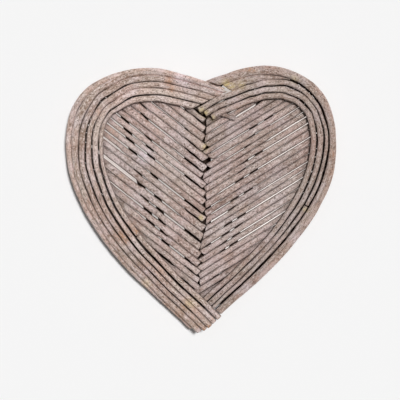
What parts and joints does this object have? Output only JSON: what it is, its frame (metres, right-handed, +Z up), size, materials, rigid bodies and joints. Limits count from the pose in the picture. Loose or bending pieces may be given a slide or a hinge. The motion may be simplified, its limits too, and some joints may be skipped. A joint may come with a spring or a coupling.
{
  "type": "wicker heart",
  "caption": "Flat ornamental heart of grey-washed willow rods: a border of bent rods over a chevron of straight rods, nailed to rods across the back.",
  "frame": {"origin": "centre of the box around the heart, on the surface it lies on", "axes": "+Z up out of the heart's front, +Y towards the notch between the lobes, +X to the right seen from the front"},
  "size_m": [0.2998, 0.2965, 0.023],
  "materials": {
    "border_willow": "matt, grey lime wash over brown bark",
    "field_willow": "matt, grey lime wash over brown bark",
    "back_willow": "matt brown bark, barely washed"
  },
  "bodies": {
    "root": {"border_left_1": "border_willow", "border_left_2": "border_willow", "border_left_3": "border_willow", "border_left_4": "border_willow", "border_left_5": "border_willow", "border_left_6_upper": "border_willow", "border_left_6_lower": "border_willow", "border_right_1": "border_willow", "border_right_2": "border_willow", "border_right_3_short": "border_willow", "border_right_4_upper": "border_willow", "border_right_4_lower": "border_willow", "border_right_5": "border_willow", "border_right_6": "border_willow", "field_left_01": "field_willow", "field_left_02": "field_willow", "field_left_03": "field_willow", "field_left_04": "field_willow", "field_left_05": "field_willow", "field_left_06": "field_willow", "field_left_07": "field_willow", "field_left_08": "field_willow", "field_left_09": "field_willow", "field_left_10": "field_willow", "field_left_11": "field_willow", "field_left_12": "field_willow", "field_left_13": "field_willow", "field_left_14": "field_willow", "field_left_15": "field_willow", "field_left_16": "field_willow", "field_left_17": "field_willow", "field_left_18": "field_willow", "field_left_top": "field_willow", "field_left_bottom": "field_willow", "field_right_01": "field_willow", "field_right_02": "field_willow", "field_right_03": "field_willow", "field_right_04": "field_willow", "field_right_05": "field_willow", "field_right_06": "field_willow", "field_right_07": "field_willow", "field_right_08": "field_willow", "field_right_09": "field_willow", "field_right_10": "field_willow", "field_right_11": "field_willow", "field_right_12": "field_willow", "field_right_13": "field_willow", "field_right_14": "field_willow", "field_right_15": "field_willow", "field_right_16": "field_willow", "field_right_17": "field_willow", "field_right_18": "field_willow", "field_right_19": "field_willow", "field_right_top": "field_willow", "field_right_bottom": "field_willow", "spine": "back_willow", "rib_left_outer": "back_willow", "rib_left_inner": "back_willow", "rib_right_inner": "back_willow", "rib_right_outer": "back_willow"}
  },
  "joints": []
}
